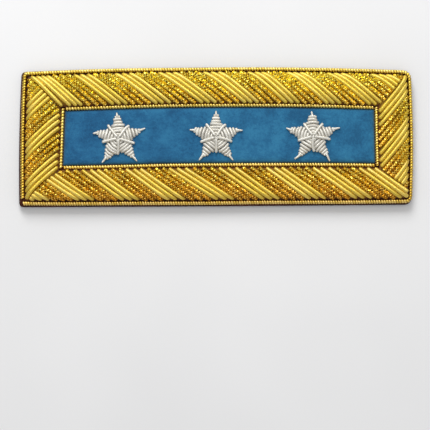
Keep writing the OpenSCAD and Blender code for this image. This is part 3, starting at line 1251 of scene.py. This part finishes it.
@dataclass(frozen=True)
class Border:
    """Padded border of gold purl, laid slantwise side by side in bands of smooth and check.

    Each strand's two feet stray along the side, and its tone lies between the two tones. The rows
    of the padding lie within its span of the way across, but for the skirt.
    """

    plan: BoardPlan
    cords: Cords
    crown: Crown = Crown()
    smooth: PlainStrand = PlainStrand(1.14, 1.0)
    check: CheckStrand = CheckStrand(1.36, 1.06)
    lays: tuple[Lay, ...] = (
        Lay(
            outer=(
                (-1, -47.0), (2, -43.0), (7, -34.2), (13, -23.3), (19, -11.8), (25, 0.0), (31, 11.5),
                (37, 21.5), (43, 32.1), (49, 43.9), (53, 51.9),
            ),
            inner=(
                (-1, -39.9), (0, -37.7), (2, -34.5), (7, -24.6), (13, -13.4), (19, -1.5), (25, 9.5),
                (31, 20.1), (37, 30.8), (43, 41.8), (53, 60.3),
            ),
            foot=1.68,
            clearance=0.15,
            hook=(0.8, 1.8),
            squeeze=0.15,
        ),
        Lay(
            outer=((0, 14.7), (7, 2.5), (19, -19.9)),
            inner=((0, 6.5), (7, -6.3), (19, -27.9)),
            foot=1.68,
            clearance=0.15,
            hook=(1.1, 1.0),
        ),
        Lay(
            outer=((0, 51.3), (7, 37.8), (19, 13.7), (25, 1.9), (31, -11.0), (37, -22.7), (52, -51.9)),
            inner=((0, 41.1), (7, 27.2), (19, 3.0), (25, -10.1), (31, -21.5), (37, -32.6), (52, -63.8)),
            foot=1.72,
            clearance=0.3,
            hook=(0.7, 0.9),
        ),
        Lay(
            outer=((0, -14.9), (7, -3.3), (20, 18.5)),
            inner=((0, -7.9), (7, 4.1), (20, 25.6)),
            foot=1.78,
            clearance=0.2,
            hook=(1.1, 0.5),
            tail=0.4,
            last_smooth=14,
        ),
    )
    repeat: int = 6
    cord_gap: float = 0.15
    strand_gap: float = 0.62
    shortest: float = 0.35
    samples: int = 240
    seat: float = 0.03
    skirt: float = 0.45
    corner_gap: float = 1.1
    corner_reach: float = 1.8
    seed: int = 40
    strays: Pair = (0.025, 0.06)
    tones: Pair = (0.2, 0.8)
    pad_rows: int = 25
    pad_cols: int = 120
    pad_span: Pair = (0.02, 0.99)
    hair: float = 1e-5
    smooth_finish: BullionWire = BullionWire(
        "smooth_gold_wire",
        (0.75, 0.55, 0.052),
        (0.85, 0.64, 0.085),
        (0.91, 0.705, 0.135),
        roughness=(0.37, 0.47),
        coil_pitch=0.16,
        coil_relief=0.012,
        metallic=0.9,
        coat=0.5,
        coat_roughness=0.26,
        # Painted shade towards the board's lower edge.
        tarnish=(0.97, 0.93, 1.0),
    )
    check_finish: CheckWire = CheckWire()
    felt: NappedCloth = NappedCloth(
        "rust_padding_felt",
        (0.32, 0.17, 0.02),
        (0.45, 0.26, 0.03),
        (0.58, 0.35, 0.05),
        # Painted shade: the felt is darker low down, in the skirt between the cords and the strands.
        graded=(0.42, 0.22, 0.35),
    )

    @property
    def foot_height(self) -> float:
        """Height of the strands' middle line at their feet."""
        return packed("smooth_purl_top")[1, 2] - self.crown.height - self.smooth.height / 2

    def inner_foot(self, side: Side) -> float:
        """Distance from the field cord's middle line to one side's inner feet."""
        return self.cords.inner.diameter / 2 + self.lays[side].clearance

    def path(self, side: Side, number: int, jitter: Sizes = (0.0, 0.0)) -> Array:
        """Middle line of one strand, from its outer end over the crown to its inner foot.

        In plan it is the straight line between the feet, moved back along the side by
        hook x (1 - share risen at the outer end) and ahead by tail x share risen at the inner end.

        Args:
            side: The side of the board.
            number: The strand's place along the side, from 0.
            jitter: Distances that the outer and the inner foot stray along the side.

        Returns:
            (samples, 3) points.
        """
        lay = self.lays[side]
        left, right = self.plan.ends(Line.EDGE, side, 0)
        way = (right - left) / np.hypot(*(right - left))
        half, turn = self.repeat // 2, number % self.repeat
        closer = lay.squeeze * (1 - turn if turn < half else turn - half - 1)
        outer_place, inner_place = (np.interp(number, *zip(*row)) for row in (lay.outer, lay.inner))
        start = self.plan.point(Line.EDGE, side, lay.foot, outer_place) + way * jitter[0]
        end = self.plan.point(Line.FIELD, side, self.inner_foot(side), inner_place)
        end += way * (jitter[1] + closer)
        lean = (end - start) @ way
        width = np.hypot(*(end - start - way * lean))
        across = self.crown.unrolled(width, self.samples)
        outer_rise, inner_rise = self.crown.shares(across)
        hook = np.interp(number, (lay.first, lay.last), lay.hook)
        bend = lay.tail * inner_rise * across - hook * (1 - outer_rise)
        plan = start + (end - start) * across[:, None] + way * bend[:, None]
        return lifted(plan, self.foot_height + self.crown.rise(across))

    def laid_part(self, side: Side, path: Array) -> Array:
        """The part of a strand that lies on its own side.

        It starts inside the cord of the side before, and ends where it comes within the strand gap
        of the next side's first strand. Near the field's corner the gap is wider, by corner gap x
        exp(-distance to the corner / corner reach).

        Args:
            side: The side of the board.
            path: The whole strand's middle line.

        Returns:
            The points that are left, which may be none.
        """
        plan = path[:, :2]
        inset = self.cords.edge.diameter + self.cord_gap
        before, corner = self.plan.ends(Line.EDGE, side.before, inset)
        back = before - corner
        away = plan - corner
        inside = back[0] * away[:, 1] - back[1] * away[:, 0] > 0
        first = self.path(side.after, self.lays[side.after].first)[::-1, :2]
        nearest = np.argmin(((plan[:, None] - first[None]) ** 2).sum(-1), axis=1)
        way = np.gradient(first, axis=0)[nearest]
        off = plan - first[nearest]
        left = np.sign(way[:, 0] * off[:, 1] - way[:, 1] * off[:, 0])
        far = np.hypot(*(plan - self.plan.corner(Line.FIELD, side + 1, 0)).T)
        gap = self.strand_gap + self.corner_gap * np.exp(-far / self.corner_reach)
        clear = left * np.hypot(off[:, 0], off[:, 1]) > gap
        begins = int(np.argmax(inside))
        stops = np.flatnonzero(~clear[begins:])
        if not inside.any() or (len(stops) and stops[0] == 0):
            return path[:0]
        return path[begins : begins + stops[0]] if len(stops) else path[begins:]

    def is_smooth(self, side: Side, number: int) -> bool:
        """Whether a strand is smooth: the first half of each repeat, and any before 0."""
        in_band = number % self.repeat < self.repeat / 2 and number <= self.lays[side].last_smooth
        return number < 0 or in_band

    def strands(self, side: Side) -> tuple[Skin, Skin]:
        """All strands of one side.

        Args:
            side: The side of the board.

        Returns:
            The smooth strands and the check strands.
        """
        rng = np.random.default_rng(self.seed + side)
        smooth, check = [], []
        lay = self.lays[side]
        for number in range(lay.first, lay.last + 1):
            jitter = tuple(rng.normal(0, stray) for stray in self.strays)
            path = self.laid_part(side, self.path(side, number, jitter))
            tint = rng.uniform(*self.tones)
            if len(path) < 2 or travelled(path)[-1] < self.shortest:
                continue
            if self.is_smooth(side, number):
                smooth.append(self.smooth.skin(path, tint))
            else:
                check.append(self.check.skin(path, rng))
        return Skin.joined(smooth), Skin.joined(check)

    def padding(self, side: Side) -> Skin:
        """Padding under one side: the crown's section a strand's radius lower, with a low skirt.

        Each row lies a hair beyond the last, so that no two fall together.

        Args:
            side: The side of the board.

        Returns:
            The closed skin, with mitred ends.
        """
        outer, inner = self.lays[side].foot, self.inner_foot(side)
        width = self.plan.borders[side] - outer - inner
        across = self.crown.unrolled(width, self.pad_rows)
        section = np.column_stack([across * width, self.foot_height + self.crown.rise(across)])
        across, up = unit(np.gradient(section, axis=0)).T
        section += np.column_stack([up, -across]) * (self.smooth.height / 2 + self.seat)
        floor = self.plan.thickness
        share = np.maximum.accumulate(np.clip(section[:, 0] / width, *self.pad_span))
        share = np.concatenate([[-self.skirt / width], share, [1 + self.skirt / width / 2]])
        share += np.arange(len(share)) * self.hair
        heights = np.concatenate([[0], section[:, 1], [0]])
        along = np.linspace(0, 1, self.pad_cols)
        edge = self.plan.along(Line.EDGE, side, outer, along)[:, None]
        field_edge = self.plan.along(Line.FIELD, side, inner, along)[:, None]
        plan = edge + (field_edge - edge) * share[:, None]
        return slab(lifted(plan, np.maximum(heights, floor + self.skirt / 2)), lifted(plan, floor))

    def build(self) -> list[Piece]:
        """Makes the padding, the smooth strands and the check strands of each side.

        Returns:
            The twelve pieces.
        """
        gold, glitter, felt = self.smooth_finish.make(), self.check_finish.make(), self.felt.make()
        pieces = []
        for side in Side:
            smooth, check = self.strands(side)
            names = [f"{row}_{side.word}" for row in ("padding", "smooth_strands", "check_strands")]
            nodes = [[f"{row}_{side.word}"] for row in ("border_padding", "smooth_purl", "check_purl")]
            pieces += [
                dressed(self.padding(side), names[0], felt, nodes[0]),
                dressed(smooth, names[1], gold, nodes[1]),
                dressed(check, names[2], glitter, nodes[2], smooth=False),
            ]
        return pieces


@dataclass(frozen=True)
class Star:
    """Star of silver bullion: bars laid across five padded rays, a strand down each valley and one
    at each tip.

    Sizes along and across a ray are shares of the star's radius. Tips and valleys each hold, from
    the upper ray round to the left, how far in degrees the strand's end strays anticlockwise, and
    how far out it reaches. The core's rings and base are shares of its outline, and its dip in the
    valleys fades out over a span of the way along a ray.
    """

    name: str
    seed: int
    rays: int = 5
    body_height: float = 1.3
    rim_height: float = 0.3
    body_fall: float = 2.2
    turn: float = 0.0
    shift: Pair = (0.0, 0.0)
    along: Sizes = (0.0, 0.402, 0.5, 0.6, 0.7, 0.8)
    half_width: Sizes = (0.06, 0.275, 0.2, 0.16, 0.125, 0.06)
    bars: Sizes = (0.025, 0.13, 0.235, 0.34, 0.45, 0.56, 0.665, 0.755)
    bow: float = 0.03
    skew: float = 0.07
    bar_points: int = 41
    bar_fall: float = 0.8
    bar_stray: float = 0.006
    side_stray: float = 0.06
    longer: float = 0.02
    least_lift: float = 0.3
    bar_tones: Pair = (0.3, 0.9)
    dip: float = 0.35
    dip_span: Pair = (0.38, 0.74)
    valley_points: int = 25
    valley_start: float = 0.06
    valley_floor: float = 0.64
    valley_fall: float = 1.2
    valleys: tuple[Pair, ...] = ((0.0, 0.58),) * 5
    valley_stray: float = 0.12
    curl: float = -0.5
    curl_power: int = 7
    curl_stray: float = 0.1
    tips: tuple[Pair, ...] = ((0.0, 0.97),) * 5
    tip_points: int = 13
    tip_gap: float = 0.015
    tip_sweep: float = 1.3
    tip_height: float = 0.7
    tip_drop: float = 0.25
    tip_width: float = 0.8
    tip_taper: float = 0.55
    top_bars: int = 8
    core_size: float = 0.94
    core_rings: Sizes = (1.0, 0.92, 0.8, 0.65, 0.5, 0.35, 0.2, 0.08)
    core_base: Sizes = (0.08, 0.5, 1.0)
    core_edge: float = 0.05
    strand: PlainStrand = PlainStrand(0.80, 0.60, sides=10, step=0.22, end=0.28)
    rib: PlainStrand = PlainStrand(0.76, 0.62, sides=10, step=0.22, end=0.3)

    @property
    def middle(self) -> Array:
        """The star's middle, on the field cloth: a radius below its upper tip, and shifted.

        Returns:
            The point.
        """
        low, high = packed(f"star_{self.name}_strands")
        x, y = (low[0] + high[0]) / 2 + self.shift[0], high[1] - self.radius + self.shift[1]
        return np.array((x, y, packed("field_cloth")[1, 2]))

    @property
    def radius(self) -> float:
        """Half the distance between the side tips, over the cosine of their slope."""
        low, high = packed(f"star_{self.name}_strands")
        return (high[0] - low[0]) / 2 / np.cos(TAU / self.rays / 4)

    def surface(self, share: Array, dip: Array | float) -> Array:
        """Height of the padded body at a share of the way from its middle to its rim."""
        # It is rim + (middle - rim) x (1 - share^fall) x (1 - dip x 4 share (1 - share)).
        fallen = (1 - np.clip(share, 0, 1) ** self.body_fall) * (1 - dip * 4 * share * (1 - share))
        return self.rim_height + (self.body_height - self.rim_height) * np.maximum(fallen, 0)

    def turned(self, angle: float, points: Array) -> Array:
        """Turns (along, across, up) points to an angle in degrees about the middle."""
        cos, sin = np.cos(np.radians(angle)), np.sin(np.radians(angle))
        return points @ np.array(((cos, -sin, 0), (sin, cos, 0), (0, 0, 1))).T + self.middle

    def bars_of(self, ray_angle: float, bars: Array, rng: np.random.Generator) -> list[Skin]:
        """The strands across one ray, bowed a little towards its tip and over the padding.

        Ahead of the middle each lies at: share + bow (1 - c^2) + slant x c, where c runs from -1 to
        1 across the ray, and its top at: valley + (ridge - valley) x (1 - c^2)^fall. All bars of a
        ray share one bow, and most of their slant.

        Args:
            ray_angle: Angle of the ray, in degrees.
            bars: Share of the way out at which each bar lies.
            rng: Source of the bars' straying.

        Returns:
            A skin for each bar.
        """
        c = np.linspace(-1, 1, self.bar_points)
        bow, skew = rng.uniform(0, 2 * self.bow), rng.normal(0, self.skew)
        notch = np.hypot(self.along[1], self.half_width[1])
        skins = []
        for share in bars + rng.normal(0, self.bar_stray, len(bars)):
            half = np.interp(share, self.along, self.half_width) * self.radius
            slant = (skew + rng.normal(0, self.skew / 2)) * half
            ahead = (share + bow * (1 - c**2)) * self.radius + slant * c
            ridge = self.surface(np.array(share / self.along[-1]), 0.0)
            out = min(np.hypot(share, half / self.radius) / notch, 1.0)
            valley = self.surface(np.array(out), self.dip)
            lift = valley + (ridge - valley) * (1 - c**2) ** self.bar_fall
            height = np.maximum(lift - self.strand.height / 2, self.strand.height * self.least_lift)
            across = c * (half + rng.normal(self.longer, self.side_stray)) + rng.normal(0, self.side_stray)
            path = self.turned(ray_angle, np.column_stack([ahead, across, height]))
            skins.append(self.strand.skin(path, rng.uniform(*self.bar_tones)))
        return skins

    def valley_strand(self, angle: float, end: float, curl: float, rng: np.random.Generator) -> Skin:
        """The strand down one valley, from beside the middle past the notch.

        It falls from the body's top by (the way out / the way out to the valley's floor)^fall, and
        curls aside by curl x share of the way^power.

        Args:
            angle: Angle of the strand, in degrees.
            end: Share of the way out at which it ends.
            curl: How far its outer end curls aside, anticlockwise positive.
            rng: Source of its straying.

        Returns:
            The closed skin.
        """
        t = np.linspace(0, 1, self.valley_points)
        out = (self.valley_start + (end - self.valley_start) * t) * self.radius
        high, low = self.body_height + self.rib.height / 2, self.rib.height / 2
        height = high + (low - high) * (out / self.radius / self.valley_floor) ** self.valley_fall
        aside = rng.normal(0, self.valley_stray) * np.sin(t * TAU / 2) + curl * t**self.curl_power
        path = np.column_stack([out, aside, height])
        return self.rib.skin(self.turned(angle, path), 1.0)

    def tip_strand(self, angle: float, start: float, end: float, askew: float) -> Skin:
        """The strand that ends one ray, thinner and lower towards its end.

        It sweeps aside by the angle x share of the way^sweep. Its height is in shares of a strand's.

        Args:
            angle: Angle of the ray, in degrees.
            start: Share of the way out at which it starts.
            end: Share at which it ends.
            askew: Angle by which its end lies aside, in degrees, anticlockwise positive.

        Returns:
            The closed skin.
        """
        t = np.linspace(0, 1, self.tip_points)
        out = (start + (end - start) * t) * self.radius
        aside = np.radians(askew) * self.radius * t**self.tip_sweep
        height = self.rib.height * (self.tip_height - self.tip_drop * t)
        path = self.turned(angle, np.column_stack([out, aside, height]))
        return replace(self.rib, width=self.tip_width).skin(path, 1.0, self.tip_taper)

    def core(self) -> Skin:
        """The padding under the bars: the star's outline in shrinking rings, a strand lower.

        Returns:
            The closed skin.
        """
        rows = np.array([(-h, a) for a, h in zip(self.along[1:], self.half_width[1:])])
        rows = np.concatenate([rows, rows[::-1] * (-1, 1)])[:, ::-1] * self.core_size
        dips = np.tile(np.interp(rows[:, 0], self.dip_span, (self.dip, 0.0)), self.rays)
        ahead, across = np.tile(rows, (self.rays, 1)).T
        turn = np.radians(90 + self.turn + np.repeat(np.arange(self.rays), len(rows)) * 360 / self.rays)
        cos, sin = np.cos(turn), np.sin(turn)
        rim = np.column_stack([ahead * cos - across * sin, ahead * sin + across * cos]) * self.radius
        heights = [self.surface(share, dips) - self.strand.height for share in self.core_rings]
        rings = [lifted(rim * f, np.maximum(h, self.core_edge)) for f, h in zip(self.core_rings, heights)]
        points = np.stack([lifted(rim * f, 0.0) for f in self.core_base] + rings) + self.middle
        return wrapped(points, np.arange(len(points)) / 2)

    def build(self, silver: Finish, felt: Finish) -> list[Piece]:
        """Makes the padding, the bars, and the valley and tip strands.

        Args:
            silver: Finish of the bullion.
            felt: Finish of the padding.

        Returns:
            The three pieces.
        """
        rng = np.random.default_rng(self.seed)
        step = 360 / self.rays
        angles = [90 + self.turn + step * k for k in range(self.rays)]
        rows = [self.bars[: self.top_bars]] + [self.bars] * (self.rays - 1)
        bars = [bar for a, row in zip(angles, rows) for bar in self.bars_of(a, np.array(row), rng)]
        curls = rng.normal(0, self.curl_stray, self.rays)
        curls[-1] += self.curl
        ribs = [
            self.valley_strand(a + step / 2 + askew, end, curl, rng)
            for a, (askew, end), curl in zip(angles, self.valleys, curls)
        ]
        ribs += [
            self.tip_strand(a, row[-1] + self.tip_gap, end, askew)
            for a, row, (askew, end) in zip(angles, rows, self.tips)
        ]
        star, slot = f"star_{self.name}", Slot.SILVER_BULLION
        return [
            dressed(self.core(), f"{star}_padding", felt, []),
            dressed(Skin.joined(bars), f"{star}_bars", silver, [star]),
            dressed(Skin.joined(ribs), f"{star}_ribs", silver, [f"{star}_strands"]),
        ]


@dataclass(frozen=True)
class StarRow:
    """The three stars on the field."""

    stars: tuple[Star, ...] = (
        Star(
            "left",
            seed=70,
            turn=3.0,
            shift=(-0.1, 0.0),
            tips=((1.0, 0.93), (4.0, 0.93), (-1.5, 1.05), (0.5, 1.05), (0.0, 1.03)),
            valleys=((-1.0, 0.62), (-8.0, 0.6), (-5.0, 0.58), (-1.0, 0.61), (-2.0, 0.6)),
        ),
        Star(
            "centre",
            seed=71,
            shift=(0.08, 0.36),
            tips=((0.0, 0.94), (2.5, 0.98), (-0.5, 1.03), (0.5, 1.03), (-4.0, 0.98)),
            valleys=((2.0, 0.6), (-1.0, 0.59), (0.0, 0.56), (3.5, 0.6), (3.0, 0.57)),
        ),
        Star(
            "right",
            seed=72,
            turn=1.5,
            curl=0.0,
            top_bars=7,
            shift=(0.05, 0.55),
            tips=((1.5, 0.9), (-1.0, 1.0), (-5.0, 1.04), (-3.5, 1.07), (-2.0, 1.02)),
            valleys=((-3.0, 0.58), (-4.0, 0.56), (2.0, 0.55), (8.0, 0.64), (-3.0, 0.59)),
        ),
    )
    silver: BullionWire = BullionWire(
        "silver_bullion_wire",
        (0.60, 0.575, 0.515),
        (0.69, 0.67, 0.61),
        (0.78, 0.765, 0.705),
        roughness=(0.4, 0.52),
        coil_pitch=0.11,
        coil_relief=0.008,
        metallic=0.7,
    )
    felt: NappedCloth = NappedCloth(
        "grey_star_felt", (0.38, 0.35, 0.31), (0.50, 0.46, 0.41), (0.62, 0.58, 0.52)
    )

    def build(self) -> list[Piece]:
        """Makes the stars."""
        silver, felt = self.silver.make(), self.felt.make()
        return [piece for star in self.stars for piece in star.build(silver, felt)]


@dataclass(frozen=True)
class SoftLight:
    """A square soft box that points at the board."""

    name: str
    place: tuple[float, float, float]
    size: float
    power: float

    def build(self) -> None:
        """Hangs the light."""
        lamp = bpy.data.lights.new(self.name, "AREA")
        lamp.shape = "SQUARE"
        lamp.size = self.size * MM
        lamp.energy = self.power
        obj = bpy.data.objects.new(self.name, lamp)
        place = np.array(self.place) * MM
        obj.location = place
        obj.rotation_mode = "QUATERNION"
        obj.rotation_quaternion = Vector(-place).to_track_quat("-Z", "Y")
        bpy.context.scene.collection.objects.link(obj)


@dataclass(frozen=True)
class Studio:
    """Pale table, soft light from above and behind, and a camera that looks straight down."""

    frame_px: float = 430.0
    px_per_mm: float = 3.85
    board_px: Pair = (215.75, 137.1)
    camera_height: float = 400.0
    focus_height: float = 2.6
    sensor: float = 36.0
    clip: Pair = (10.0, 10000.0)
    table_size: float = 3000.0
    table_depth: float = 20.0
    sky: float = 0.45
    lights: tuple[SoftLight, ...] = (
        SoftLight("key_light", (-50.0, 360.0, 330.0), 240.0, 1.75),
        SoftLight("top_light", (-30.0, 60.0, 900.0), 600.0, 1.65),
    )

    def camera(self) -> None:
        """Sets the camera over the middle of the frame, at the height that gives its scale."""
        data = bpy.data.cameras.new("camera")
        distance = self.camera_height - self.focus_height
        data.sensor_width = self.sensor
        data.lens = self.sensor * distance / (self.frame_px / self.px_per_mm)
        data.clip_start, data.clip_end = (limit * MM for limit in self.clip)
        obj = bpy.data.objects.new("camera", data)
        x, y = (self.frame_px / 2 - p for p in self.board_px)
        obj.location = (x / self.px_per_mm * MM, -y / self.px_per_mm * MM, self.camera_height * MM)
        bpy.context.scene.collection.objects.link(obj)
        bpy.context.scene.camera = obj

    def table(self) -> None:
        """Lays the table at height zero, as a grid of two by two faces."""
        half = self.table_size / 2
        x, y = np.meshgrid(np.linspace(-half, half, 3), np.linspace(-half, half, 3))
        skin = slab(lifted(pairs(x, y), 0.0), lifted(pairs(x, y), -self.table_depth))
        obj = skin.piece("table", PaleTable().make(), smooth=False)

    def build(self) -> None:
        """Sets the table, the lights, the sky and the camera."""
        self.table()
        for light in self.lights:
            light.build()
        world = bpy.data.worlds.new("studio")
        world.use_nodes = True
        background = world.node_tree.nodes["Background"]
        background.inputs["Color"].default_value = (1.0, 1.0, 1.0, 1.0)
        background.inputs["Strength"].default_value = self.sky
        bpy.context.scene.world = world
        bpy.context.scene.view_settings.view_transform = "Standard"
        self.camera()


def main() -> None:
    """Builds the sub-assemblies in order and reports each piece."""
    logging.basicConfig(level=logging.INFO, format="%(message)s")
    plan = BoardPlan.from_frame()
    cords = Cords(plan)
    assemblies = [CoveredBoard(plan), FieldCloth(plan), cords, Border(plan, cords), StarRow()]
    for assembly in assemblies:
        for piece in assembly.build():
            LOG.info("%s: %d faces", piece.name, len(piece.data.polygons))
    Studio().build()


if __name__ == "__main__":
    main()
